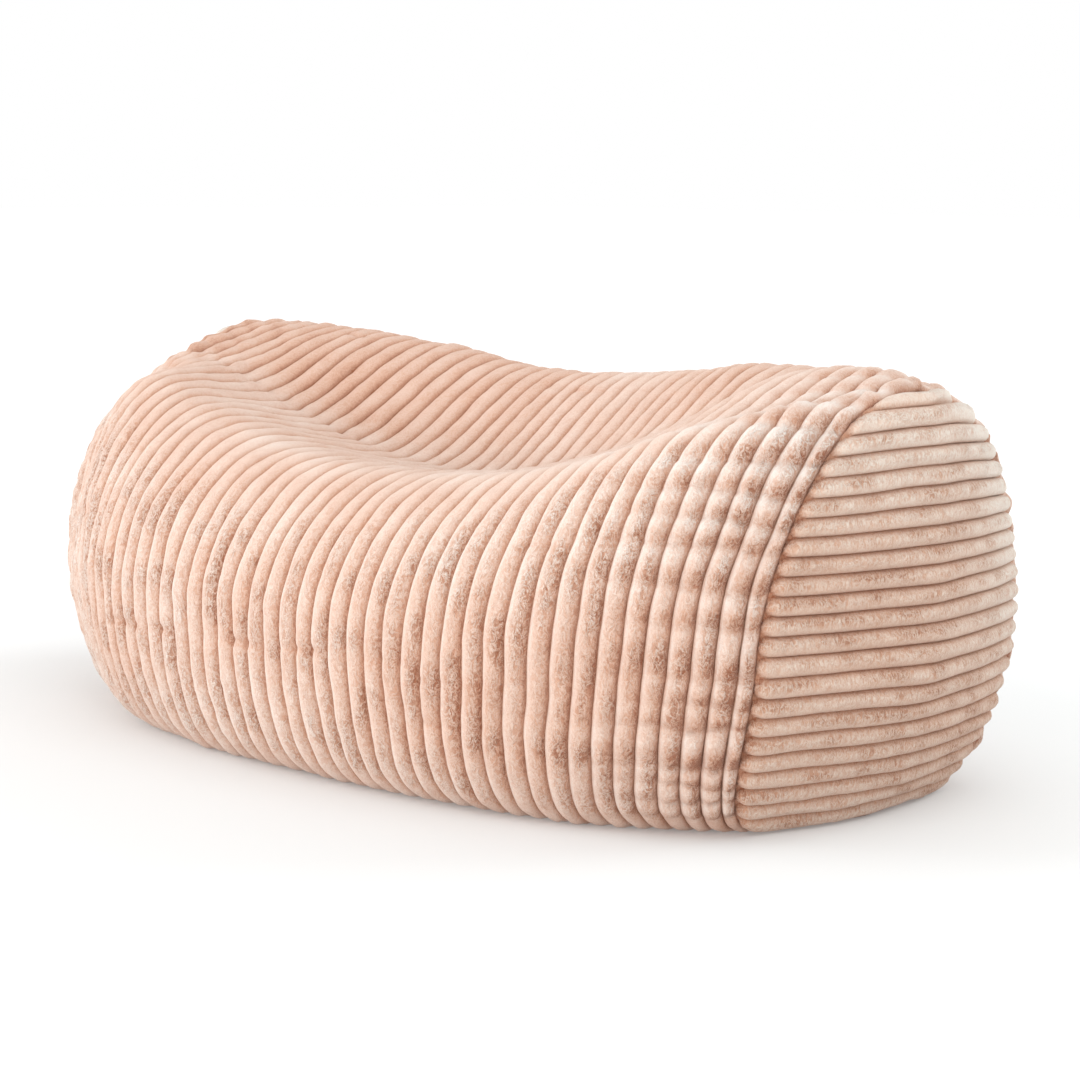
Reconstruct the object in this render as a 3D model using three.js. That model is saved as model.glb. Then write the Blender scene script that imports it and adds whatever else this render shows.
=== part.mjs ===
// Long floor pouf: a ribbed wrap round a soft filled body, closed by two domed end panels.
// Millimetres, +Z up. +X runs along the pouf to its right end, and -Y is its front.
import * as THREE from 'three'

// Girth: half widths in plan, and the roundings from the floor to the widest line and on to the top.
const halfWidth = 313
const seamHalfWidth = 171
const backSeamExtra = 30 // the back of a seam stands out this much more
const widestAt = 0.44 // as a share of the way from the left seam to the right one
const planFullness = 2.5
const bulgeHeight = 172 // of the widest line round the body
const footInset = 66
const lowerFullness = 2.4
const lowerFullnessExtra = 0.35 // more of it towards the right seam
const upperFullness = 1.73

// Lean of the ribs near the ends: the seams are drawn in at the floor and lean out a little at the top.
const footLean = 52
const topLean = 42
const topShift = 8

// The top's lines along the pouf: a front crest, a valley to sit in and a back ridge.
const valleyY = -24
const creaseAtLeft = 0.4 // 0 is a soft valley, 1 a sharp fold
const creaseAtRight = 0.05
const stations = [
  { at: 0, x: -529, crestY: -70, crestZ: 296, valleyZ: 356, ridgeY: 119, ridgeZ: 412 },
  { at: 0.08, x: -441, crestY: -103, crestZ: 359, valleyZ: 372, ridgeY: 141, ridgeZ: 412 },
  { at: 0.22, x: -292, crestY: -148, crestZ: 339, valleyZ: 325, ridgeY: 155, ridgeZ: 402 },
  { at: 0.38, x: -107, crestY: -191, crestZ: 309, valleyZ: 287, ridgeY: 165, ridgeZ: 379 },
  { at: 0.55, x: 83, crestY: -191, crestZ: 300, valleyZ: 287, ridgeY: 152, ridgeZ: 385 },
  { at: 0.72, x: 262, crestY: -182, crestZ: 321, valleyZ: 344, ridgeY: 131, ridgeZ: 406 },
  { at: 0.88, x: 423, crestY: -159, crestZ: 374, valleyZ: 418, ridgeY: 102, ridgeZ: 401 },
  { at: 1, x: 526, crestY: -73, crestZ: 402, valleyZ: 411, ridgeY: -10, ridgeZ: 408 }
]

// Ribs of the cloth.
const wrapRibs = 45
const endRibs = 23.3 // the panel is cut a little into its last rib
const ribHeight = 7
const stepsPerRib = 4

// End panels.
const domeDepth = 52
const domeFullness = 1.3 // across the panel
const domeRise = 2.35 // fullness up from the furthest reach to the top
const domeFall = 2.85 // and down to the floor
const domeHeight = 182 // of the furthest reach
const floorShare = 0.93 // how far down its curve the dome has come at the floor
const domeColumns = 12
const seamGap = 0.3

const arcSteps = { lower: 4, upper: 6, crest: 4, ridge: 5 }

const blush = new THREE.Color('#dfc0b1')

// A column of the station table at any place along the pouf, as a smooth curve through its rows.
function along(name, at) {
  const last = stations.length - 1
  let i = 0
  while (i < last - 1 && at > stations[i + 1].at) i++
  const step = j => stations[j + 1].at - stations[j].at
  const rise = j => (stations[j + 1][name] - stations[j][name]) / step(j)
  const slope = j => {
    if (j === 0) return 1.5 * rise(0) - 0.5 * rise(1)
    if (j === last) return 1.5 * rise(last - 1) - 0.5 * rise(last - 2)
    return (rise(j - 1) * step(j) + rise(j) * step(j - 1)) / (step(j - 1) + step(j))
  }
  const w = (at - stations[i].at) / step(i)
  return stations[i][name] * (1 + 2 * w) * (1 - w) ** 2 + slope(i) * step(i) * w * (1 - w) ** 2 +
    stations[i + 1][name] * w * w * (3 - 2 * w) + slope(i + 1) * step(i) * w * w * (w - 1)
}

// Shares [level, rise] of a quarter round of the given fullness, from upright (1, 0) to level (0, 1).
function quarter(fullness, t) {
  const a = t * Math.PI / 2
  return [Math.max(0, Math.cos(a)) ** (2 / fullness), Math.sin(a) ** (2 / fullness)]
}

// One smooth girth line at a place along the pouf, from the front foot over the top to the back foot.
function girth(at) {
  const side = 2 * at - 1
  const away = at < widestAt ? (widestAt - at) / widestAt : (at - widestAt) / (1 - widestAt)
  const width = halfWidth - (halfWidth - seamHalfWidth) * away ** planFullness
  const front = -width
  const back = width + backSeamExtra * away ** 2
  const crease = creaseAtLeft + (creaseAtRight - creaseAtLeft) * at
  const [x, crestY, crestZ, valleyZ, ridgeY, ridgeZ] =
    ['x', 'crestY', 'crestZ', 'valleyZ', 'ridgeY', 'ridgeZ'].map(name => along(name, at))
  const lower = lowerFullness + lowerFullnessExtra * Math.max(0, side) ** 2
  const atFoot = -footLean * side * Math.abs(side)
  const atTop = topLean * side * Math.abs(side) + topShift
  const { lerp } = THREE.MathUtils
  const points = []
  const add = (lean, y, z) => points.push(new THREE.Vector3(x + lean, y, z))

  for (let i = 0; i <= arcSteps.lower; i++) {
    const [low, out] = quarter(lower, i / arcSteps.lower)
    add(atFoot * low ** 1.5, front + footInset * (1 - out), bulgeHeight * (1 - low))
  }
  for (let i = 1; i <= arcSteps.upper; i++) {
    const [out, up] = quarter(upperFullness, i / arcSteps.upper)
    add(atTop * up ** 1.5, crestY + (front - crestY) * out, bulgeHeight + (crestZ - bulgeHeight) * up)
  }
  for (let i = 1; i <= arcSteps.crest; i++) {
    const t = i / arcSteps.crest
    const fall = lerp((1 - Math.cos(Math.PI * t)) / 2, 1 - Math.cos(Math.PI * t / 2), crease)
    add(atTop, lerp(crestY, valleyY, t), lerp(crestZ, valleyZ, fall))
  }
  for (let i = 1; i <= arcSteps.ridge; i++) {
    const t = i / arcSteps.ridge
    const rise = lerp((1 - Math.cos(Math.PI * t)) / 2, Math.sin(Math.PI * t / 2), crease)
    add(atTop, lerp(valleyY, ridgeY, t), lerp(valleyZ, ridgeZ, rise))
  }
  for (let i = 1; i <= arcSteps.upper; i++) {
    const [up, out] = quarter(upperFullness, i / arcSteps.upper)
    add(atTop * up ** 1.5, ridgeY + (back - ridgeY) * out, bulgeHeight + (ridgeZ - bulgeHeight) * up)
  }
  for (let i = 1; i <= arcSteps.lower; i++) {
    const [out, low] = quarter(lower, i / arcSteps.lower)
    add(atFoot * low ** 1.5, back - footInset * (1 - out), bulgeHeight * (1 - low))
  }
  return points
}

// Height of the cloth over its grooves, where whole numbers of ribs are grooves.
function ribAt(ribs) {
  const across = 2 * (ribs - Math.floor(ribs + 1e-6)) - 1
  return ribHeight * Math.sqrt(Math.max(0, 1 - across * across))
}

// Moves the points of a grid outward by height(row, column).
function raise(grid, height) {
  const clampTo = (list, i) => list[Math.min(Math.max(i, 0), list.length - 1)]
  return grid.map((row, i) => row.map((point, j) => {
    const alongRows = clampTo(grid, i + 1)[j].clone().sub(clampTo(grid, i - 1)[j])
    const alongRow = clampTo(row, j + 1).clone().sub(clampTo(row, j - 1))
    return point.clone().addScaledVector(alongRows.cross(alongRow).normalize(), height(i, j))
  }))
}

// Collects points and faces of one closed solid.
class Shell {
  positions = []
  faces = []

  put(point) {
    this.positions.push(point.x, point.y, point.z)
    return this.positions.length / 3 - 1
  }

  triangle(a, b, c) {
    this.faces.push(a, b, c)
  }

  quad(a, b, c, d) {
    this.triangle(a, b, c)
    this.triangle(a, c, d)
  }

  // Joins two open chains that run the same way, the second one lying ahead of the first.
  zip(first, second) {
    let i = 0
    let j = 0
    while (i < first.length - 1 || j < second.length - 1) {
      const nextFirst = i < first.length - 1 ? first[i + 1].share : Infinity
      const nextSecond = j < second.length - 1 ? second[j + 1].share : Infinity
      if (nextFirst < nextSecond) this.triangle(first[i].index, second[j].index, first[++i].index)
      else this.triangle(first[i].index, second[j].index, second[++j].index)
    }
  }

  mesh(name, material) {
    const geometry = new THREE.BufferGeometry()
    geometry.setAttribute('position', new THREE.Float32BufferAttribute(this.positions, 3))
    geometry.setIndex(this.faces)
    const mesh = new THREE.Mesh(geometry, material)
    mesh.name = name
    return mesh
  }
}

// Shares of the way along a chain of points, by length.
function shares(points) {
  const lengths = [0]
  for (let i = 1; i < points.length; i++) lengths.push(lengths[i - 1] + points[i].distanceTo(points[i - 1]))
  return lengths.map(length => length / lengths.at(-1))
}

// Value of a table of [key, value] pairs with rising keys.
function lookUp(pairs, key) {
  let i = 0
  while (i < pairs.length - 2 && key > pairs[i + 1][0]) i++
  const [[k0, v0], [k1, v1]] = [pairs[i], pairs[i + 1]]
  return v0 + (v1 - v0) * THREE.MathUtils.clamp((key - k0) / (k1 - k0), 0, 1)
}

// One end of the body: the seam's front and back sides by height, the dome over it and its rib rows.
function endForm(at) {
  const line = girth(at)
  const facing = at > 0.5 ? 1 : -1
  const top = line.reduce((best, point, i) => point.z > line[best].z ? i : best, 0)
  const apex = line[top]
  const sides = { front: line.slice(0, top + 1), back: line.slice(top).reverse() }
  const sidePoint = (side, z) => new THREE.Vector3(
    lookUp(sides[side].map(p => [p.z, p.x]), z), lookUp(sides[side].map(p => [p.z, p.y]), z), z)
  const reach = z => {
    const [gone, fullness] = z > domeHeight
      ? [(z - domeHeight) / (apex.z - domeHeight), domeRise]
      : [(domeHeight - z) / domeHeight * floorShare, domeFall]
    return domeDepth * (1 - Math.min(1, gone) ** fullness) ** (1 / fullness)
  }
  const domePoint = (z, across) => {
    const bulge = (1 - Math.abs(across) ** domeFullness) ** (1 / domeFullness)
    const point = sidePoint('front', z).lerp(sidePoint('back', z), (across + 1) / 2)
    point.x += facing * reach(z) * bulge
    return point
  }
  // Rows a quarter of a rib apart along the dome's middle line, up to just under the seam's highest point.
  const probes = Array.from({ length: 200 }, (_, i) => apex.z * i / 200)
  const travelled = shares(probes.map(z => domePoint(z, 0)))
  const rows = Math.floor(endRibs * stepsPerRib)
  const heights = Array.from({ length: rows + 1 }, (_, i) =>
    lookUp(probes.map((z, k) => [travelled[k], z]), i / (endRibs * stepsPerRib)))
  return { facing, apex, heights, sidePoint, domePoint }
}

const ends = { left: endForm(0), right: endForm(1) }

// The seam's two sides, row by row, then its highest point, moved along X by shift.
function seamRows(end, shift) {
  const move = point => point.clone().add(new THREE.Vector3(shift, 0, 0))
  return {
    front: end.heights.map(z => move(end.sidePoint('front', z))),
    back: end.heights.map(z => move(end.sidePoint('back', z))),
    apex: move(end.apex)
  }
}

// Closes a solid across a seam; outward is the X direction that the face looks to.
function closeSeam(shell, front, back, apex, outward) {
  const turn = (a, b, c) => outward > 0 ? shell.triangle(a, b, c) : shell.triangle(a, c, b)
  for (let i = 0; i < front.length - 1; i++) {
    turn(front[i], back[i], back[i + 1])
    turn(front[i], back[i + 1], front[i + 1])
  }
  turn(front.at(-1), back.at(-1), apex)
}

function wrap() {
  const columns = wrapRibs * stepsPerRib
  const smooth = Array.from({ length: columns - 1 }, (_, i) => girth((i + 1) / columns))
  const ring = smooth[0].length
  const raised = raise(smooth, (i, j) => {
    const atFoot = j === 0 || j === ring - 1
    return atFoot ? 0 : ribAt((i + 1) / stepsPerRib + 0.5)
  })
  const shell = new Shell()
  const index = raised.map(points => points.map(point => shell.put(point)))
  for (let i = 0; i < index.length - 1; i++) {
    for (let j = 0; j < ring; j++) {
      const k = (j + 1) % ring
      shell.quad(index[i][j], index[i + 1][j], index[i + 1][k], index[i][k])
    }
  }
  const chain = (points, indices) => shares(points).map((share, i) => ({ share, index: indices[i] }))
  for (const [end, shift, edge] of [[ends.left, seamGap / 2, 0], [ends.right, -seamGap / 2, index.length - 1]]) {
    const rows = seamRows(end, shift)
    const front = rows.front.map(point => shell.put(point))
    const back = rows.back.map(point => shell.put(point))
    const apex = shell.put(rows.apex)
    const seam = chain([...rows.front, rows.apex, ...rows.back.toReversed()], [...front, apex, ...back.toReversed()])
    const body = chain(raised[edge], index[edge])
    const bottom = [index[edge][ring - 1], index[edge][0]]
    if (end.facing > 0) {
      shell.zip(body, seam)
      shell.quad(bottom[0], back[0], front[0], bottom[1])
    } else {
      shell.zip(seam, body)
      shell.quad(back[0], bottom[0], bottom[1], front[0])
    }
    closeSeam(shell, front, back, apex, end.facing)
  }
  return shell
}

function endPanel(end) {
  const shift = end.facing * seamGap / 2
  const acrossAt = j => Math.sin((j / domeColumns - 0.5) * Math.PI)
  const smooth = end.heights.map(z => Array.from({ length: domeColumns + 1 }, (_, j) => end.domePoint(z, acrossAt(j))))
  const raised = raise(smooth, (i, j) => {
    if (i === 0) return 0
    const fromEnds = Math.min(i, end.heights.length - 1 - i) / stepsPerRib
    const fade = Math.min(1, (1 - Math.abs(acrossAt(j))) / 0.1) * Math.min(1, fromEnds)
    return -end.facing * fade * ribAt(i / stepsPerRib)
  })
  const rows = seamRows(end, shift)
  const shell = new Shell()
  const front = rows.front.map(point => shell.put(point))
  const back = rows.back.map(point => shell.put(point))
  const apex = shell.put(rows.apex)
  const index = raised.map((points, i) => points.map((point, j) => {
    if (j === 0) return front[i]
    if (j === domeColumns) return back[i]
    return shell.put(point.add(new THREE.Vector3(shift, 0, 0)))
  }))
  const turn = (a, b, c) => end.facing > 0 ? shell.triangle(a, b, c) : shell.triangle(a, c, b)
  for (let j = 0; j < domeColumns; j++) {
    for (let i = 0; i < index.length - 1; i++) {
      turn(index[i][j], index[i][j + 1], index[i + 1][j + 1])
      turn(index[i][j], index[i + 1][j + 1], index[i + 1][j])
    }
    turn(index.at(-1)[j], index.at(-1)[j + 1], apex)
    if (j > 0) turn(index[0][0], index[0][j + 1], index[0][j])
  }
  closeSeam(shell, front, back, apex, -end.facing)
  return shell
}

const plush = name => new THREE.MeshStandardMaterial({ name, color: blush, roughness: 0.95, metalness: 0 })

const pouf = new THREE.Group()
pouf.add(
  wrap().mesh('wrap', plush('wrap_plush')),
  endPanel(ends.left).mesh('end_panel_left', plush('end_plush')),
  endPanel(ends.right).mesh('end_panel_right', plush('end_plush'))
)

export default pouf
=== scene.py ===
import math

import bpy
import numpy as np
from mathutils import Matrix, Vector


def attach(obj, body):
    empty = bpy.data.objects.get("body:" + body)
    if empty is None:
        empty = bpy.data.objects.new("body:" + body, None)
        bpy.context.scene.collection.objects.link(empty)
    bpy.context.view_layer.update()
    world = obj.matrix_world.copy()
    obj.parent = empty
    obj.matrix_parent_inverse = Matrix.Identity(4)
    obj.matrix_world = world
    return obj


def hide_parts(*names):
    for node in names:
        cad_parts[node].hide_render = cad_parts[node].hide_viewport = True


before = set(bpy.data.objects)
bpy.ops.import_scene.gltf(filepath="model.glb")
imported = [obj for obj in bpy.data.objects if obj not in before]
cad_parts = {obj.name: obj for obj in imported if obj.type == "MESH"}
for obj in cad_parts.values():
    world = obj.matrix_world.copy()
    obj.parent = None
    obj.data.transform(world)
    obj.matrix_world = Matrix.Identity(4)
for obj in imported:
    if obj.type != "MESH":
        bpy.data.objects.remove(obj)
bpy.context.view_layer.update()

# Long floor pouf: a ribbed plush wrap round a soft filled body, with a domed panel sewn into each end.
# Metres, +X along the pouf to its right end, -Y its front, the floor at z = 0.

form = {
    "halfWidth": 0.313,
    "seamHalfWidth": 0.171,
    "backSeamExtra": 0.030,  # the back of a seam stands out this much more
    "widestAt": 0.44,  # share of the way from the left seam to the right one
    "planFullness": 2.5,
    "bulgeHeight": 0.172,  # of the widest line round the body
    "restHeight": 0.006,  # the grooves stay this far above the floor
    "footInset": 0.066,
    "lowerFullness": 2.4,
    "lowerFullnessExtra": 0.35,  # more of it towards the right seam
    "upperFullness": 1.73,
    "footLean": 0.052,  # the seams are drawn in at the floor
    "topLean": 0.042,
    "topShift": 0.008,
    "valleyY": -0.024,
    "creaseAtLeft": 0.4,  # 0 is a soft valley, 1 a sharp fold
    "creaseAtRight": 0.05,
    "seamGap": 0.0003,  # between the wrap and each panel
}

# The lines along the top: at, x, crestY, crestZ, valleyZ, ridgeY, ridgeZ.
stationNames = ("at", "x", "crestY", "crestZ", "valleyZ", "ridgeY", "ridgeZ")
stations = np.array([
    (0.00, -0.529, -0.070, 0.296, 0.356, 0.119, 0.412),
    (0.08, -0.441, -0.103, 0.359, 0.372, 0.141, 0.412),
    (0.22, -0.292, -0.148, 0.339, 0.325, 0.155, 0.402),
    (0.38, -0.107, -0.191, 0.309, 0.287, 0.165, 0.379),
    (0.55, 0.083, -0.191, 0.300, 0.287, 0.152, 0.385),
    (0.72, 0.262, -0.182, 0.321, 0.344, 0.131, 0.406),
    (0.88, 0.423, -0.159, 0.374, 0.418, 0.102, 0.401),
    (1.00, 0.526, -0.073, 0.402, 0.411, -0.010, 0.408),
])


def along(name, at):  # a column of the table at any places, as a smooth curve through its rows
    keys = stations[:, 0]
    values = stations[:, stationNames.index(name)]
    steps = np.diff(keys)
    rises = np.diff(values) / steps
    slopes = np.empty(len(keys))
    slopes[1:-1] = (rises[:-1] * steps[1:] + rises[1:] * steps[:-1]) / (steps[:-1] + steps[1:])
    slopes[0] = 1.5 * rises[0] - 0.5 * rises[1]
    slopes[-1] = 1.5 * rises[-1] - 0.5 * rises[-2]
    i = np.clip(np.searchsorted(keys, at) - 1, 0, len(keys) - 2)
    w = (at - keys[i]) / steps[i]
    return (values[i] * (1 + 2 * w) * (1 - w) ** 2 + slopes[i] * steps[i] * w * (1 - w) ** 2
            + values[i + 1] * w * w * (3 - 2 * w) + slopes[i + 1] * steps[i] * w * w * (w - 1))


def quarter(fullness, t):  # level and rising shares of a quarter round
    angle = t * math.pi / 2
    return np.clip(np.cos(angle), 0, 1) ** (2 / fullness), np.sin(angle) ** (2 / fullness)


def girths(at, steps):  # smooth lines from the front foot over the top to the back foot, one per place
    at = np.atleast_1d(at)[:, None]
    t = np.linspace(0, 1, steps + 1)[None, :]
    side = 2 * at - 1
    widest = form["widestAt"]
    away = np.where(at < widest, (widest - at) / widest, (at - widest) / (1 - widest))
    width = form["halfWidth"] - (form["halfWidth"] - form["seamHalfWidth"]) * away ** form["planFullness"]
    front = -width
    back = width + form["backSeamExtra"] * away ** 2
    crease = form["creaseAtLeft"] + (form["creaseAtRight"] - form["creaseAtLeft"]) * at
    x, crestY, crestZ, valleyZ, ridgeY, ridgeZ = (along(name, at) for name in stationNames[1:])
    atFoot = -form["footLean"] * side * abs(side)
    atTop = form["topLean"] * side * abs(side) + form["topShift"]
    bulge, inset, valleyY = form["bulgeHeight"], form["footInset"], form["valleyY"]
    rest = form["restHeight"]
    lower = form["lowerFullness"] + form["lowerFullnessExtra"] * np.clip(side, 0, 1) ** 2
    soft = (1 - np.cos(math.pi * t)) / 2
    parts = []

    def add(lean, y, z):
        parts.append(np.stack(np.broadcast_arrays(x + lean, y, z), axis=-1))

    low, out = quarter(lower, t)
    add(atFoot * low ** 1.5, front + inset * (1 - out), rest + (bulge - rest) * (1 - low))
    out, up = quarter(form["upperFullness"], t)
    add(atTop * up ** 1.5, crestY + (front - crestY) * out, bulge + (crestZ - bulge) * up)
    fall = soft + (1 - np.cos(math.pi * t / 2) - soft) * crease
    add(atTop + 0 * t, crestY + (valleyY - crestY) * t, crestZ + (valleyZ - crestZ) * fall)
    rise = soft + (np.sin(math.pi * t / 2) - soft) * crease
    add(atTop + 0 * t, valleyY + (ridgeY - valleyY) * t, valleyZ + (ridgeZ - valleyZ) * rise)
    up, out = quarter(form["upperFullness"], t)
    add(atTop * up ** 1.5, ridgeY + (back - ridgeY) * out, bulge + (ridgeZ - bulge) * up)
    out, low = quarter(lower, t)
    add(atFoot * low ** 1.5, back - inset * (1 - out), rest + (bulge - rest) * (1 - low))
    return np.concatenate([parts[0]] + [part[:, 1:] for part in parts[1:]], axis=1)


def spread(lines, shares):  # each line's points moved to the given shares of its length
    lengths = np.concatenate([np.zeros((len(lines), 1)),
                              np.cumsum(np.linalg.norm(np.diff(lines, axis=1), axis=2), axis=1)], axis=1)
    result = np.empty((len(lines), len(shares), 3))
    for i, line in enumerate(lines):
        for axis in range(3):
            result[i, :, axis] = np.interp(shares * lengths[i, -1], lengths[i], line[:, axis])
    return result, lengths


def normals(grid):  # unit normals of a grid of points
    first = np.gradient(grid, axis=0)
    second = np.gradient(grid, axis=1)
    across = np.cross(first, second)
    return across / np.maximum(np.linalg.norm(across, axis=2, keepdims=True), 1e-12)


def patches(u, v, seed, size):  # smooth noise from -1 to 1 over two coordinates in metres
    sizeU, sizeV = size if isinstance(size, tuple) else (size, size)
    values = np.random.RandomState(seed).uniform(-1, 1, (257, 257))
    a, b = u / sizeU, v / sizeV
    i, j = np.floor(a).astype(int), np.floor(b).astype(int)
    p, q = a - i, b - j
    p, q = p * p * (3 - 2 * p), q * q * (3 - 2 * q)
    i, j = i % 256, j % 256
    return ((values[i, j] * (1 - p) + values[i + 1, j] * p) * (1 - q)
            + (values[i, j + 1] * (1 - p) + values[i + 1, j + 1] * p) * q)


def layered(u, v, layers):  # patches of several sizes: strength, seed, spacing of each
    return sum(strength * patches(u, v, seed, size) for strength, seed, size in layers)


def smoothStep(value, start, end):
    t = np.clip((value - start) / (end - start), 0, 1)
    return t * t * (3 - 2 * t)


def between(value, rise, fall):  # 1 between the two spans, fading to 0 across each
    return smoothStep(value, *rise) * (1 - smoothStep(value, *fall))


def bell(value, width):
    return np.exp(-(value / width) ** 2)


def addPiece(name, points, faces, layers, material):
    mesh = bpy.data.meshes.new(name)
    mesh.from_pydata([tuple(point) for point in points], [], faces)
    for layer, values in layers.items():
        mesh.attributes.new(layer, "FLOAT", "POINT").data.foreach_set("value", values.astype(np.float32))
    mesh.validate()
    mesh.polygons.foreach_set("use_smooth", [True] * len(mesh.polygons))
    mesh.materials.append(material)
    piece = bpy.data.objects.new(name, mesh)
    bpy.context.scene.collection.objects.link(piece)
    return piece


# The wrap: ribs run round the girth, and gathers cross them beside the two seams.
wrapLook = {
    "ribs": 45,
    "ribHeight": 0.0088,
    "ribFullness": 2.4,
    "ribFullnessLost": 0.5,  # towards the right seam, where the ribs are rounder
    "seamRibHeight": 0.0078,  # the half rib left beside each seam
    "seamRibExtra": 0.20,  # and what it is wider than half a rib
    "ribSteps": (0, 0.05, 0.17, 0.38, 0.62, 0.83, 0.95),
    "seamRibSteps": (0, 0.12, 0.3, 0.5, 0.72, 0.9),
    "rows": 302,
    "underRows": 4,
    "sway": 0.0019,  # how far a groove strays from its line
    "swayPatches": [(1.0, 63, (0.07, 0.055)), (0.5, 64, (0.03, 0.03))],
    "lumps": [(0.0016, 61, (0.11, 0.13)), (0.0012, 62, (0.05, 0.07))],
    "crumples": [(0.0042, 91, (0.017, 0.020)), (0.002, 92, (0.009, 0.012))],
    "creaseLumps": [(0.0026, 93, (0.013, 0.012))],
    "seamRibLumps": [(0.0045, 15, (0.02, 0.012))],
    "leftSeamShare": 0.35,  # of the lumps and gathers, on the strip beside the left seam
    "shoulder": [(0.0085, 4.5, 0.500, 0.075), (-0.003, 7, 0.29, 0.08)],  # height, reach in ribs, run, width
    "crumpleAt": (4.2, 0.53, 0.055),  # reach in ribs, run, width
    # gathers beside the right seam: metres along a rib from the front foot, depth, reach in ribs
    "rightGathers": [
        (0.044, 0.0030, 4.0), (0.066, 0.0046, 4.5), (0.083, 0.0040, 3.6), (0.101, 0.0050, 4.5),
        (0.141, 0.0066, 6.0), (0.163, 0.0026, 3.0), (0.190, 0.0034, 4.5), (0.237, 0.0032, 5.0),
        (0.271, 0.0046, 5.6), (0.309, 0.0052, 6.0), (0.333, 0.0050, 5.6), (0.360, 0.0058, 6.0),
        (0.393, 0.0060, 6.0), (0.430, 0.0050, 5.0), (0.462, 0.0040, 4.0),
    ],
    # scattered gathers: seed, first and last place, span of depths, span of reaches
    "rightScattered": (5, 0.50, 1.10, (0.002, 0.0042), (2.5, 4.5)),
    "leftScattered": (8, 0.05, 1.15, (0.0014, 0.0028), (2.5, 4.5)),
    "gatherSpacing": (0.024, 0.040),  # of scattered gathers
    "gatherScale": 2.4,
    "gatherSlope": 0.0006,  # a gather climbs this much for each rib it crosses
    "gatherWander": 0.004,
    "gatherEndWidth": 0.012,
    "beadFullness": 2.3,
    "beadSunk": 0.55,  # share of a bead's depth that lies below the rib
    "beadShaded": ((0, 0.12), (0.2, 0.62)),  # spans of each bead from its lower gather to its upper one
    "beadLit": ((0.45, 0.75), (0.90, 1)),
    # shallow folds across the ribs: first and last rib counted from the left, run at each, depth
    "folds": [
        (9, 31, 0.150, 0.169, 0.0034), (29.5, 34.5, 0.152, 0.160, 0.0020),
        (29.5, 34.5, 0.112, 0.120, 0.0018), (39, 44.6, 0.131, 0.141, 0.0022),
        (33.5, 37, 0.291, 0.296, 0.0022), (6, 10.5, 0.698, 0.721, 0.0026),
        (7.5, 10, 0.643, 0.652, 0.0020), (18, 25, 0.738, 0.695, 0.0016),
        (26, 31, 0.715, 0.728, 0.0016), (38, 42, 0.484, 0.478, 0.0022),
        (2, 9, 0.240, 0.262, 0.0024), (12, 16, 0.560, 0.548, 0.0014),
    ],
    "foldWidth": 0.0045,
    "foldWander": 0.003,
    "foldSpacing": 0.03,
    "foldEnds": ((0, 0.2), (0.8, 1)),  # spans over which a fold begins and ends
    # how pale the nap lies, with painted light and shade added to it: 0 is the darkest brushed pile, 1 the
    # palest
    "tone": 0.62,
    "tonePatches": [(0.05, 33, (0.12, 0.10)), (0.06, 37, (0.012, 0.030))],
    "brushed": 0.25,
    "brushedPatches": [(1.0, 31, (0.016, 0.026)), (0.5, 32, (0.007, 0.011))],
    # painted light on the rib flank facing the left lamp, where the nap lies smooth; the far flank darker,
    # tufted nap with painted shade
    "litFlank": 0.17,
    "farFlank": 0.08,
    "farFlankBrushed": 0.14,
    "farFlankLowRight": 0.09,
    # painted sheen on the rib edges on top, painted shade over the whole top
    "topEdgeSheen": 0.18,
    "topShade": 0.05,
    "topBrushed": 0.06,
    # painted sheen along the front crest
    "crestSheen": 0.09,
    "lowRight": 0.07,
    # painted light from the floor, low on the front
    "foot": 0.09,
    # painted light on the front of the left end, painted shade on the left back slope
    "leftFrontLight": 0.07,
    "leftBackShade": 0.13,
    # painted highlight along each rib's left edge, painted sheen over the crest near the right seam
    "ribEdgeHighlight": 0.12,
    "rightCrestSheen": 0.15,
    # painted shade on the lower part of each bead and painted highlight on its upper part
    "shadedBeads": 75,  # per metre of gather depth
    "shadedBeadsLow": 45,
    "litBeads": 30,
    # painted shade in the folds and the grooves
    "foldShade": 50,
    "grooveShade": 0.60,
    "topGrooveShade": 0.22,
}


def wrapColumns():  # places along the pouf, with the rib each one is on and its place across that rib
    ribs = wrapLook["ribs"]
    places = [(0.5 * step, -1, step) for step in wrapLook["seamRibSteps"]]
    for rib in range(ribs - 1):
        places += [(rib + 0.5 + step, rib, step) for step in wrapLook["ribSteps"]]
    places += [(ribs - 0.5 + 0.5 * step, ribs - 1, step) for step in wrapLook["seamRibSteps"]]
    places += [(ribs, ribs - 1, 1)]
    counts, rib, step = (np.array(values, float) for values in zip(*places))
    fromEnd = np.minimum(counts, ribs - counts)
    side = np.where(counts > ribs / 2, -1, 1)
    counts += side * wrapLook["seamRibExtra"] * np.where(fromEnd < 0.5, fromEnd / 0.5, bell(fromEnd - 0.5, 3))
    return counts / ribs, rib, step


def scatteredGathers(seed, start, end, depths, reaches):
    random = np.random.RandomState(seed)
    place, result = start, []
    while place < end:
        result.append((place, random.uniform(*depths), random.uniform(*reaches)))
        place += random.uniform(*wrapLook["gatherSpacing"])
    return result


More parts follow.
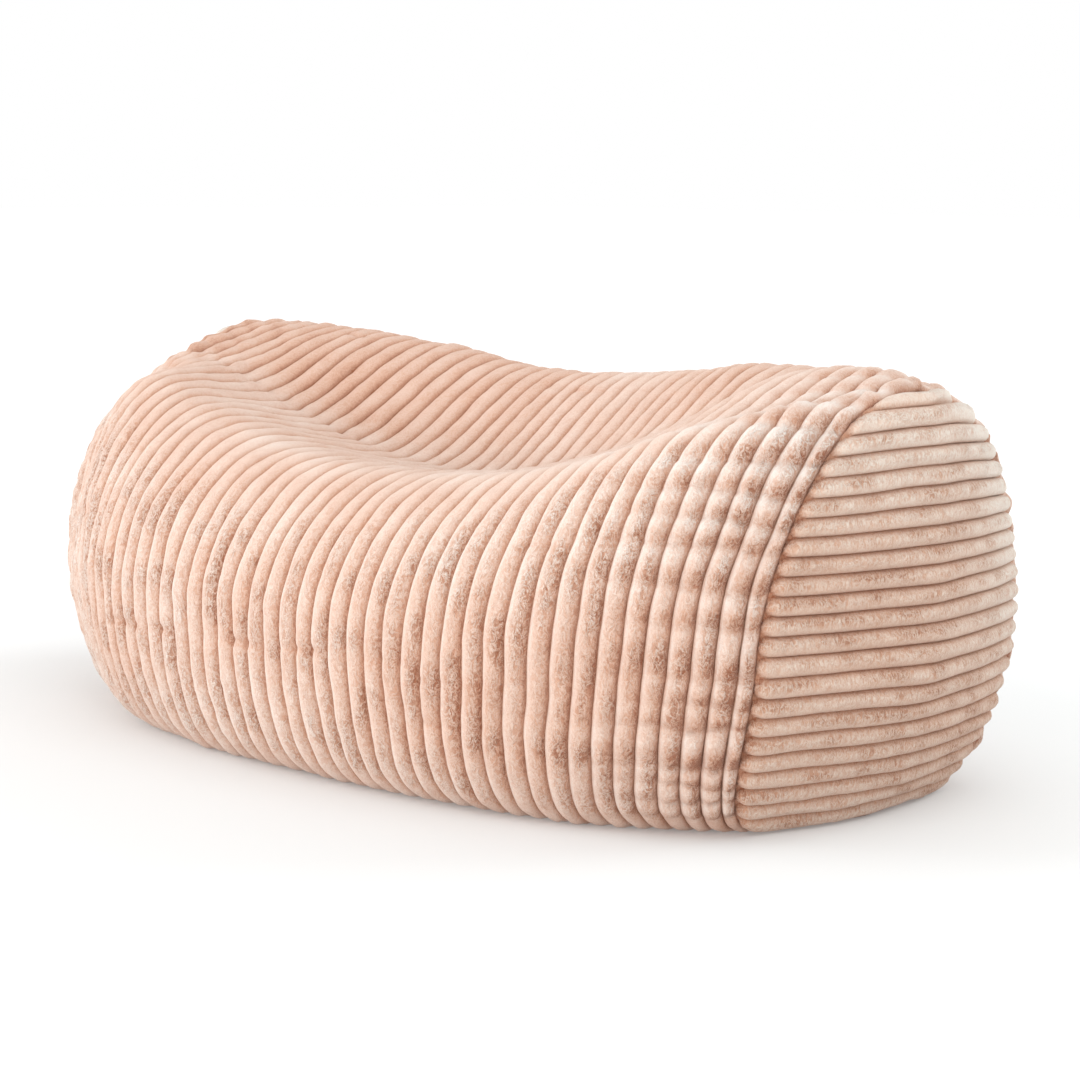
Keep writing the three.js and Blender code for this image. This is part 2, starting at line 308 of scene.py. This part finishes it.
def gather(rows, run, fromSeam, across, seed):  # beads between the gathers, their shaded and lit parts
    beads, shaded, lit = 0 * run, 0 * run, 0 * run
    places, depths, reaches = np.array(rows).T
    centres = [place - wrapLook["gatherSlope"] * fromSeam
               + wrapLook["gatherWander"] * patches(across, 0.1 * i + 0 * run, seed, 0.04)
               for i, place in enumerate(places)]

    def strength(i, k):
        patchy = 0.8 + 0.35 * patches(across, 0.31 * i + 0 * run, seed + 1, 0.03)
        return (depths[i] + depths[k]) / 2 * bell(fromSeam, (reaches[i] + reaches[k]) / 2) * patchy

    for i in range(len(places) - 1):
        u = (run - centres[i]) / (centres[i + 1] - centres[i])
        within = (u > 0) & (u <= 1)
        amount = strength(i, i + 1)
        crown = np.clip(1 - np.abs(2 * u - 1) ** wrapLook["beadFullness"], 0, 1) ** 0.5
        beads = np.where(within, amount * (crown - wrapLook["beadSunk"]), beads)
        shaded = np.where(within, amount * between(u, *wrapLook["beadShaded"]), shaded)
        lit = np.where(within, amount * between(u, *wrapLook["beadLit"]), lit)
    for i, side in ((0, -1), (len(places) - 1, 1)):
        past = side * (run - centres[i])
        sunk = wrapLook["beadSunk"] * strength(i, i) * bell(past, wrapLook["gatherEndWidth"])
        beads = np.where(past > 0, -sunk, beads)
    return beads, shaded, lit


def foldDepth(count, run, across):
    depth = 0 * run
    spacing = wrapLook["foldSpacing"]
    for first, last, startRun, endRun, deepest in wrapLook["folds"]:
        t = (count - first) / (last - first)
        astray = wrapLook["foldWander"] * patches(across, 3 * first + 0 * run, 51, spacing)
        centre = startRun + (endRun - startRun) * t + astray
        strength = np.clip(0.6 + 0.8 * patches(across, 2 * first + 0 * run, 52, spacing), 0, 1.2)
        strength = between(t, *wrapLook["foldEnds"]) * strength
        depth = depth + deepest * strength * bell(run - centre, wrapLook["foldWidth"])
    return depth


def makeWrap(material):
    look = wrapLook
    at, rib, step = wrapColumns()
    rows, ribs = look["rows"], look["ribs"]
    lineSteps = 48
    base, lengths = spread(girths(at, lineSteps), np.linspace(0, 1, rows))
    facing = normals(base)
    if facing[len(at) // 2, rows // 2, 2] < 0:
        facing = -facing
    run = np.linspace(0, 1, rows)[None, :] * lengths[:, -1:]  # metres along each rib from the front foot
    crestRun, valleyRun = lengths[:, 2 * lineSteps, None], lengths[:, 3 * lineSteps, None]
    across = at[:, None] * 1.1 + 0 * run
    count = at[:, None] * ribs + 0 * run  # ribs from the left seam
    fromRight = ribs - count
    steps = step[:, None] + 0 * run
    seamRib = ((rib < 0) | (rib >= ribs - 1))[:, None]
    inside = smoothStep(count, 0, 0.5) * smoothStep(fromRight, 0, 0.5)

    # the body's own unevenness: broad lumps, grooves that stray, and a crumpled left shoulder
    lumps = layered(across, run, look["lumps"])
    shoulder = sum(high * bell(count, reach) * bell(run - place, width)
                   for high, reach, place, width in look["shoulder"])
    crumpleReach, crumpleRun, crumpleWidth = look["crumpleAt"]
    crumple = bell(count, crumpleReach) * bell(run - crumpleRun, crumpleWidth)
    crumpled = crumple * layered(across, run, look["crumples"])
    creased = bell(run - valleyRun, 0.018) * (1 - smoothStep(count, 9, 16))
    crumpled += creased * layered(across, run, look["creaseLumps"])
    sideways = np.gradient(base, axis=0)
    sideways /= np.maximum(np.linalg.norm(sideways, axis=2, keepdims=True), 1e-9)
    sway = look["sway"] * inside * layered(across, run, look["swayPatches"])

    rightRows = look["rightGathers"] + scatteredGathers(*look["rightScattered"])
    leftRows = scatteredGathers(*look["leftScattered"])
    right, rightShaded, rightLit = gather(rightRows, run, fromRight, across, 71)
    left, leftShaded, leftLit = gather(leftRows, run, count, across, 81)
    beads, shaded, lit = right + left, rightShaded + leftShaded, rightLit + leftLit
    fold = foldDepth(count, run, across)

    fullness = look["ribFullness"] - look["ribFullnessLost"] * smoothStep(count, 28, 42)
    shape = np.clip(1 - np.abs(2 * steps - 1) ** fullness, 0, 1) ** 0.5
    leftCalm = np.where(count < 1, look["leftSeamShare"], 1.0)
    full = 1 + 0.13 * patches(across, run, 12, (0.024, 0.055))
    height = np.where(seamRib, look["seamRibHeight"], look["ribHeight"]) * shape * full
    height += 0.0009 * shape * patches(across + 3, run, 13, (0.013, 0.020))
    height += 0.0005 * shape * patches(across, run, 14, (0.006, 0.009))
    height += np.where(seamRib, leftCalm * shape * layered(across, run, look["seamRibLumps"]), 0)
    beadShare = (0.40 + 0.60 * shape) * np.where(seamRib, 0.8 * leftCalm, 1.0)
    height += look["gatherScale"] * beads * beadShare
    height -= fold * (0.5 + 0.5 * shape)
    height += (lumps + shoulder + crumpled) * inside
    raised = base + facing * height[:, :, None] + sideways * sway[:, :, None]
    raised[:, :, 2] = np.maximum(raised[:, :, 2], 0.0)
    raised[0] = base[0] + np.array([form["seamGap"] / 2, 0, 0])
    raised[-1] = base[-1] - np.array([form["seamGap"] / 2, 0, 0])
    raised[:, 0, 2] = raised[:, -1, 2] = 0.0

    # how the nap lies, with painted light and shade: a smooth flank painted lit, a tufted darker flank partly
    # in painted shade, patches brushed the other way, darker towards the lower right, painted sheen along the
    # crest and rib edges, painted light low on the front and at the left end, painted shade on the top, the
    # left back slope, the grooves, the folds and the beads
    steep = 1 - smoothStep(np.abs(facing[:, :, 2]), 0.45, 0.85)
    flank = between(steps, (0.26, 0.56), (0.92, 1.0))
    brushed = np.clip(look["brushed"] + layered(across, run, look["brushedPatches"]), 0, 1)
    lowRight = smoothStep(count, 16, 42) * (1 - smoothStep(run, 0.12, 0.33))
    # painted sheen along the front crest
    band = bell(run - crestRun + 0.004, 0.030) * between(count, (9, 15), (38, 42))
    # the flank facing the left lamp painted lit where the nap lies smooth; the far flank darker, tufted nap
    # with painted shade
    farFlank = look["farFlank"] + (look["farFlankBrushed"] + look["farFlankLowRight"] * lowRight) * brushed
    onFront = look["litFlank"] * (1 - smoothStep(steps, 0.10, 0.42)) - flank * farFlank
    # painted sheen on the rib edges on top, painted shade over the whole top
    onTop = look["topEdgeSheen"] * np.abs(2 * steps - 1) ** 2.5 - look["topShade"]
    onTop -= look["topBrushed"] * brushed
    tone = look["tone"] + layered(across, run, look["tonePatches"])
    tone = tone + steep * onFront + (1 - steep) * onTop
    tone += look["crestSheen"] * band - look["lowRight"] * lowRight
    # painted light from the floor, low on the front
    tone += look["foot"] * (1 - smoothStep(run, 0.02, 0.16))
    # painted light on the front of the left end, painted shade on the left back slope
    tone += look["leftFrontLight"] * (1 - smoothStep(count, 3, 14)) * steep
    tone -= look["leftBackShade"] * smoothStep(run - valleyRun, 0, 0.05) * (1 - smoothStep(count, 12, 24))
    # painted shade on the lower part of each bead and painted highlight on its upper part
    tone -= (look["shadedBeads"] + look["shadedBeadsLow"] * lowRight) * shaded * (0.25 + 0.75 * flank)
    tone += look["litBeads"] * lit
    # painted highlight along each rib's left edge, painted sheen over the crest near the right seam
    tone += look["ribEdgeHighlight"] * bell(steps - 0.12, 0.07) * steep
    tone += look["rightCrestSheen"] * bell(fromRight, 12) * bell(run - crestRun - 0.03, 0.13)
    # painted shade in the folds and the grooves
    tone -= look["foldShade"] * fold * shape
    topGrooves = look["topGrooveShade"] * (1 - steep) * (1 - shape) ** 1.2
    tone -= look["grooveShade"] * (1 - shape) ** 1.3 + topGrooves
    tufts = np.clip(0.12 + 0.85 * steep * flank * (0.3 + 0.7 * brushed) + 60 * shaded, 0, 1)
    tufts *= 1 - 0.6 * band

    # the flat underside closes each column from the back foot to the front foot
    under = look["underRows"]
    shares = np.linspace(0, 1, under + 2)[1:-1][None, :, None]
    floorRows = raised[:, -1:, :] * (1 - shares) + raised[:, :1, :] * shares
    ring = np.concatenate([raised, floorRows], axis=1)
    columns, around = ring.shape[:2]
    index = np.arange(columns * around).reshape(columns, around)
    after = np.roll(index, -1, axis=1)
    faces = np.stack([index[:-1], index[1:], after[1:], after[:-1]], axis=-1).reshape(-1, 4).tolist()
    # the two sewn edges are closed behind the seams, straight across from front to back
    for column, turn in ((0, 1), (columns - 1, -1)):
        edge = index[column].tolist()
        for k in range(rows // 2 - 1):
            faces.append([edge[k], edge[k + 1], edge[rows - 2 - k], edge[rows - 1 - k]][::turn])
        faces.append(([edge[0]] + [edge[rows - 1]] + edge[rows:])[::turn])
    below = np.zeros((columns, under))
    layers = {
        "tone": np.concatenate([tone, below + 0.4], axis=1).ravel(),
        "tufts": np.concatenate([tufts, below + 0.3], axis=1).ravel(),
    }
    return addPiece("wrap_cover", ring.reshape(-1, 3), faces, layers, material)


# The end panels: domed, with level ribs that end rounded at the seam.
panelLook = {
    "ribs": 23.3,
    "ribHeight": 0.0100,
    "ribFullness": 1.9,
    "depth": 0.0515,
    "fullness": 1.3,  # across the panel
    "rise": 2.35,  # fullness up from the furthest reach to the top
    "fall": 2.62,  # and down to the floor
    "furthestAt": 0.182,
    "floorShare": 0.906,
    "lift": 0.008,  # the upper ribs bow up this much in their middle
    "endRounding": 0.013,
    "ribSpacing": 0.0196,
    "columns": 132,
    "ribSteps": (0, 0.05, 0.16, 0.32, 0.5, 0.68, 0.84, 0.95),
    # how pale the nap lies, with painted light and shade added to it
    "tone": 0.57,
    "tonePatches": [(0.05, 36, (0.12, 0.10))],
    "brushed": 0.3,
    "brushedPatches": [(1.0, 34, (0.022, 0.010)), (0.5, 35, (0.009, 0.006))],
    # painted sheen on the upper panel; a pale low band on each rib, smooth nap with painted sheen
    "upper": 0.18,
    "lowBand": 0.09,
    "tuftsBrushed": 0.27,
    # painted sheen towards the far side, painted shade in the grooves
    "farSideSheen": 0.28,
    "grooveShade": 0.55,
}


def makePanel(name, at, material):
    look = panelLook
    line = girths(at, 96)[0]
    facing = 1 if at > 0.5 else -1
    top = int(np.argmax(line[:, 2]))
    apex = line[top]
    front, back = line[:top + 1], line[top:][::-1]
    rest = form["restHeight"]

    def sidePoints(side, z):
        x, y = (np.interp(z, side[:, 2], side[:, axis]) for axis in (0, 1))
        return np.stack([x, y, z], axis=-1)

    def dome(z, across):
        furthest = look["furthestAt"]
        gone = np.where(z > furthest, (z - furthest) / (apex[2] - furthest),
                        (furthest - z) / (furthest - rest) * look["floorShare"])
        upright = np.where(z > furthest, look["rise"], look["fall"])
        reach = look["depth"] * (1 - np.clip(gone, 0, 1) ** upright) ** (1 / upright)
        bulge = np.clip(1 - np.abs(across) ** look["fullness"], 0, 1) ** (1 / look["fullness"])
        share = ((across + 1) / 2)[None, :, None]
        grid = sidePoints(front, z)[:, None, :] * (1 - share) + sidePoints(back, z)[:, None, :] * share
        grid[:, :, 0] += facing * reach[:, None] * bulge[None, :]
        lift = look["lift"] * between(z, (0.20, 0.34), (apex[2] - 0.04, apex[2]))
        grid[:, :, 2] += lift[:, None] * (1 - across ** 2)[None, :]
        return grid

    probes = np.linspace(rest, apex[2], 400, endpoint=False)
    middle = dome(probes, np.array([0.0]))[:, 0]
    travelled = np.concatenate([[0], np.cumsum(np.linalg.norm(np.diff(middle, axis=0), axis=1))])
    ribs = range(math.ceil(look["ribs"]))
    counts = np.array([rib + step for rib in ribs for step in look["ribSteps"]])
    counts = counts[counts < look["ribs"] - 0.1]
    z = np.interp(counts / look["ribs"] * travelled[-1], travelled, probes)
    across = np.sin(np.linspace(-0.5, 0.5, look["columns"] + 1) * math.pi)
    base = dome(z, across)
    outward = normals(base)
    if outward[len(z) // 2, len(across) // 2, 0] * facing < 0:
        outward = -outward
    lengths = np.linalg.norm(np.diff(base, axis=1), axis=2)
    run = np.concatenate([np.zeros((len(z), 1)), lengths], axis=1).cumsum(axis=1)
    up = counts[:, None] * look["ribSpacing"] + 0 * run
    steps = (counts - np.floor(counts + 1e-9))[:, None] + 0 * run
    fromSeam = np.minimum(run, run[:, -1:] - run)
    rounded = np.clip(1 - fromSeam / look["endRounding"], 0, 1) ** 2.2
    fade = smoothStep(look["ribs"] - counts, 0, 0.6)[:, None]
    shape = np.clip(1 - np.abs(2 * steps - 1) ** look["ribFullness"] - rounded, 0, 1) ** 0.5
    full = 1 + 0.14 * patches(run, up, 23, (0.05, look["ribSpacing"]))
    height = look["ribHeight"] * shape * full
    height += 0.0008 * shape * patches(run, up + 5, 21, (0.024, 0.012))
    height += 0.0005 * shape * patches(run, up, 22, (0.010, 0.006))
    height = height * fade + 0.0012 * patches(run, up, 24, (0.09, 0.07)) * smoothStep(fromSeam, 0, 0.03)
    raised = base + outward * height[:, :, None]
    free = smoothStep(fromSeam, 0, 0.02) * smoothStep(up, 0, 0.03)  # of the seam and the floor
    raised[:, :, 2] += 0.0011 * patches(run, up, 25, (0.06, 0.05)) * free
    raised[:, 0], raised[:, -1] = base[:, 0], base[:, -1]
    raised[0, :, 2] = 0.0
    raised[:, :, 2] = np.maximum(raised[:, :, 2], 0.0)
    raised[:, :, 0] += facing * form["seamGap"] / 2

    # the nap points down: a smooth pale band low on each rib, partly painted sheen, tufts above it, painted
    # shade in the grooves between, and painted sheen on the upper panel and towards its far side
    brushed = np.clip(look["brushed"] + layered(run, up, look["brushedPatches"]), 0, 1)
    share = run / run[:, -1:] if facing > 0 else 1 - run / run[:, -1:]
    middle = bell(steps - 0.66, 0.24)
    tone = look["tone"] + layered(run, up, look["tonePatches"])
    # painted sheen on the upper part of the panel
    tone += look["upper"] * smoothStep(z, 0.22, 0.38)[:, None]
    # the pale low band: smooth nap with painted sheen; the tufted middle darker where brushed
    tone += look["lowBand"] * (1 - smoothStep(steps, 0.15, 0.42)) - look["tuftsBrushed"] * middle * brushed
    # painted sheen towards the panel's far side, painted shade in the grooves
    tone += look["farSideSheen"] * smoothStep(share, 0.55, 1.0) * smoothStep(z, 0.05, 0.25)[:, None]
    tone -= look["grooveShade"] * (1 - shape) ** 1.4
    tufts = np.clip(0.18 + 0.82 * middle * (0.45 + 0.55 * brushed), 0, 1)

    rows, columns = raised.shape[:2]
    index = np.arange(rows * columns).reshape(rows, columns)
    tip = rows * columns
    tipPoint = apex + np.array([facing * form["seamGap"] / 2, 0, 0])
    points = np.concatenate([raised.reshape(-1, 3), [tipPoint]])
    quads = np.stack([index[:-1, :-1], index[:-1, 1:], index[1:, 1:], index[1:, :-1]], axis=-1).reshape(-1, 4)
    faces = quads.tolist()
    faces += [[int(index[-1, j]), int(index[-1, j + 1]), tip] for j in range(columns - 1)]
    edges = index[:, [0, -1]].tolist()
    faces += [[edges[i][0], edges[i + 1][0], edges[i + 1][1], edges[i][1]] for i in range(rows - 1)]
    faces.append([int(index[-1, 0]), tip, int(index[-1, -1])])
    faces.append([int(k) for k in index[0]][::-1])
    if facing < 0:
        faces = [face[::-1] for face in faces]
    layers = {"tone": np.append(tone.ravel(), 0.6), "tufts": np.append(tufts.ravel(), 0.4)}
    return addPiece(name, points, faces, layers, material)


class Signal:  # a node's output that can be used in sums
    def __init__(self, finish, socket):
        self.finish, self.socket = finish, socket

    def __add__(self, other):
        return self.finish.sum("ADD", self, other)

    def __sub__(self, other):
        return self.finish.sum("SUBTRACT", self, other)

    def __rsub__(self, other):
        return self.finish.sum("SUBTRACT", other, self)

    def __mul__(self, other):
        return self.finish.sum("MULTIPLY", self, other)

    __radd__, __rmul__ = __add__, __mul__


class Finish:
    def __init__(self, name):
        self.material = bpy.data.materials.new(name)
        self.material.use_nodes = True
        self.tree = self.material.node_tree
        self.shader = self.tree.nodes["Principled BSDF"]

    def plug(self, socket, value):
        if isinstance(value, Signal):
            self.tree.links.new(value.socket, socket)
        else:
            socket.default_value = value

    def node(self, kind, settings=None, output=0, second=None, **inputs):
        node = self.tree.nodes.new("ShaderNode" + kind)
        for name, value in (settings or {}).items():
            if name == "stops":
                self.setStops(node.color_ramp, value)
            else:
                setattr(node, name, value)
        for name, value in inputs.items():
            self.plug(node.inputs[name], value)
        if second is not None:  # where two inputs share a name
            self.plug(node.inputs[1], second)
        return Signal(self, node.outputs[output])

    def ridges(self, place, scale, swirl):  # worm-like tufts, from -0.6 in the partings to 0.5 on the crests
        noise = self.node("TexNoise", Vector=place, Scale=scale, Detail=2.0, Roughness=0.6, Distortion=swirl)
        apart = self.sum("ABSOLUTE", noise - 0.5, 0.0)
        return 0.5 - self.sum("MINIMUM", apart * 6.5, 1.1)

    def setStops(self, ramp, stops):
        while len(ramp.elements) < len(stops):
            ramp.elements.new(0.5)
        for element, (place, colour) in zip(ramp.elements, stops):
            element.position, element.color = place, (*colour, 1)

    def sum(self, operation, first, second):
        node = self.tree.nodes.new("ShaderNodeMath")
        node.operation = operation
        self.plug(node.inputs[0], first)
        self.plug(node.inputs[1], second)
        return Signal(self, node.outputs[0])


plushLook = {
    "stops": [
        (0.0, (0.34, 0.13, 0.068)), (0.35, (0.572, 0.330, 0.232)),
        (0.64, (0.682, 0.50, 0.413)), (1.0, (0.79, 0.73, 0.68)),
    ],
    "roughness": 0.95,
    "specular": 0.1,
    "tuftScale": 170.0,
    "tuftSwirl": 0.8,
    "tuftShare": 0.6,
    "strandScale": 420.0,
    "strandSwirl": 1.0,
    "strandShare": 0.4,
    "fibreScale": 1000.0,
    "tuftTone": 0.52,
    "tipHighlight": 0.75,
    "fibreTone": 0.30,
    "sheen": 0.32,
    "sheenRoughness": 0.5,
    "sheenTint": (1.0, 0.87, 0.80),
    "bumpStrength": 0.8,
    "bumpDistance": 0.0022,
}


def makePlush(name, paintedShade, stretch):
    finish = Finish(name)
    shader = finish.shader
    shader.inputs["Roughness"].default_value = plushLook["roughness"]
    shader.inputs["Specular IOR Level"].default_value = plushLook["specular"]
    shader.inputs["Sheen Weight"].default_value = plushLook["sheen"]
    shader.inputs["Sheen Roughness"].default_value = plushLook["sheenRoughness"]
    shader.inputs["Sheen Tint"].default_value = (*plushLook["sheenTint"], 1)
    spot = finish.node("TexCoord", output="Object")
    tone = finish.node("Attribute", {"attribute_name": "tone"}, output="Fac")
    strength = finish.node("Attribute", {"attribute_name": "tufts"}, output="Fac")
    stretched = {"operation": "MULTIPLY"}
    place = finish.node("VectorMath", stretched, output="Vector", second=stretch, Vector=spot)
    clumps = finish.ridges(place, plushLook["tuftScale"], plushLook["tuftSwirl"])
    strands = finish.ridges(place, plushLook["strandScale"], plushLook["strandSwirl"])
    fibres = finish.node("TexNoise", Vector=place, Scale=plushLook["fibreScale"], Detail=2.0, Roughness=0.7)
    # the fur's colour: darker partings and paler tuft crests, partly the pile's own colour and partly painted
    # shade and highlight
    fur = clumps * plushLook["tuftShare"] + strands * plushLook["strandShare"]
    tips = finish.sum("MAXIMUM", fur, 0.0) * strength * plushLook["tipHighlight"]
    level = tone + fur * (0.08 + strength) * plushLook["tuftTone"] + tips
    level = level + (fibres - 0.5) * plushLook["fibreTone"]
    # the shade factors darken a copy of the plush: painted shade
    stops = [(at, tuple(part * shade for part, shade in zip(colour, paintedShade)))
             for at, colour in plushLook["stops"]]
    colour = finish.node("ValToRGB", {"stops": stops}, Fac=level)
    finish.plug(shader.inputs["Base Color"], colour)
    relief = fur * (0.2 + strength) + (fibres - 0.5) * 0.5
    bump = finish.node("Bump", Strength=plushLook["bumpStrength"],
                       Distance=plushLook["bumpDistance"], Height=relief)
    finish.plug(shader.inputs["Normal"], bump)
    return finish.material


studioLook = {
    "floorSize": 60,
    "floorDrop": 0.0005,  # so that the floor and the underside don't share a plane
    "floorStops": [(0.07, (0.60, 0.59, 0.582)), (0.16, (0.725, 0.71, 0.70)), (0.5, (0.92, 0.905, 0.90))],
    "floorReach": 10,  # metres from the middle at which the stops' scale ends
    "floorGlow": 0.16,
    "worldStrength": 1.0,
    # area lights: name, width and height, place, target, watts, colour
    "lights": [
        ("overhead", (2.6, 2.6), (1.6, -0.5, 2.6), (0.2, 0, 0.2), 24, (0.86, 0.97, 1.0)),
        ("left", (2.2, 2.0), (-2.6, -2.2, 1.5), (0, 0, 0.2), 67, (0.90, 0.97, 1.0)),
        ("front", (2.6, 0.7), (0.5, -3.0, 0.40), (0, 0, 0.10), 41, (1.0, 0.92, 0.87)),
        ("behind", (1.6, 1.6), (1.8, 2.6, 1.8), (0.2, 0, 0.2), 49, (0.84, 0.96, 1.0)),
    ],
}


def makeFloor():
    bpy.ops.object.select_all(action="DESELECT")
    drop = studioLook["floorDrop"]
    bpy.ops.mesh.primitive_plane_add(size=studioLook["floorSize"], location=(0, 0, -drop))
    floor = bpy.context.active_object
    floor.name = "floor"
    finish = Finish("pale_floor")
    place = finish.node("TexCoord", output="Object")
    far = finish.node("VectorMath", {"operation": "LENGTH"}, output="Value", Vector=place)
    stops = {"stops": studioLook["floorStops"]}
    paleness = finish.node("ValToRGB", stops, Fac=far * (1 / studioLook["floorReach"]))
    finish.plug(finish.shader.inputs["Base Color"], paleness)
    finish.shader.inputs["Roughness"].default_value = 0.9
    finish.shader.inputs["Specular IOR Level"].default_value = 0.0
    finish.shader.inputs["Emission Color"].default_value = (1, 1, 1, 1)
    finish.shader.inputs["Emission Strength"].default_value = studioLook["floorGlow"]
    floor.data.materials.append(finish.material)


def makeLight(name, size, place, target, power, colour):
    data = bpy.data.lights.new(name, "AREA")
    data.shape, data.size, data.size_y = "RECTANGLE", size[0], size[1]
    data.energy, data.color = power, colour
    light = bpy.data.objects.new(name, data)
    light.location = place
    light.rotation_euler = (Vector(place) - Vector(target)).to_track_quat("Z", "Y").to_euler()
    bpy.context.scene.collection.objects.link(light)


def makeStudio():
    makeFloor()
    world = bpy.data.worlds.new("studio")
    bpy.context.scene.world = world
    world.use_nodes = True
    background = world.node_tree.nodes["Background"]
    background.inputs["Color"].default_value = (1, 1, 1, 1)
    background.inputs["Strength"].default_value = studioLook["worldStrength"]
    for light in studioLook["lights"]:
        makeLight(*light)
    bpy.context.scene.view_settings.view_transform = "Standard"


photoView = {
    "azimuth": 45.84,
    "elevation": 7.58,
    "roll": 0.60,
    "distance": 2.930,
    "target": (0.0705, 0, 0.2219),
    "lens": 93.03,
}


def makeCamera():
    azimuth, elevation, roll = (math.radians(photoView[key]) for key in ("azimuth", "elevation", "roll"))
    right = Vector((math.cos(azimuth), math.sin(azimuth), 0))
    back = Vector((math.sin(azimuth) * math.cos(elevation), -math.cos(azimuth) * math.cos(elevation),
                   math.sin(elevation)))
    up = back.cross(right)
    turnedRight = right * math.cos(roll) + up * math.sin(roll)
    turnedUp = up * math.cos(roll) - right * math.sin(roll)
    data = bpy.data.cameras.new("photo_view")
    data.sensor_width, data.lens = 36, photoView["lens"]
    data.sensor_fit = "HORIZONTAL"
    camera = bpy.data.objects.new("photo_view", data)
    place = Vector(photoView["target"]) + back * photoView["distance"]
    turn = Matrix((turnedRight, turnedUp, back)).transposed().to_4x4()
    camera.matrix_world = Matrix.Translation(place) @ turn
    bpy.context.scene.collection.objects.link(camera)
    bpy.context.scene.camera = camera


print("studio and camera")
makeStudio()
makeCamera()

print("plush")
wrapPlush = makePlush("blush_plush", (1.0, 1.0, 1.0), (1.3, 1.1, 0.75))
# the ends get a darker, warmer copy of the plush: painted shade
endPlush = makePlush("blush_plush_ends", (0.98, 0.94, 0.89), (1.35, 1.5, 0.65))

print("wrap")
wrap = makeWrap(wrapPlush)
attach(wrap, "root")
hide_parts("wrap")

print("end panels")
ends = (("left_end_cover", "end_panel_left", 0.0), ("right_end_cover", "end_panel_right", 1.0))
for pieceName, node, seamAt in ends:
    panel = makePanel(pieceName, seamAt, endPlush)
    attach(panel, "root")
    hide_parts(node)
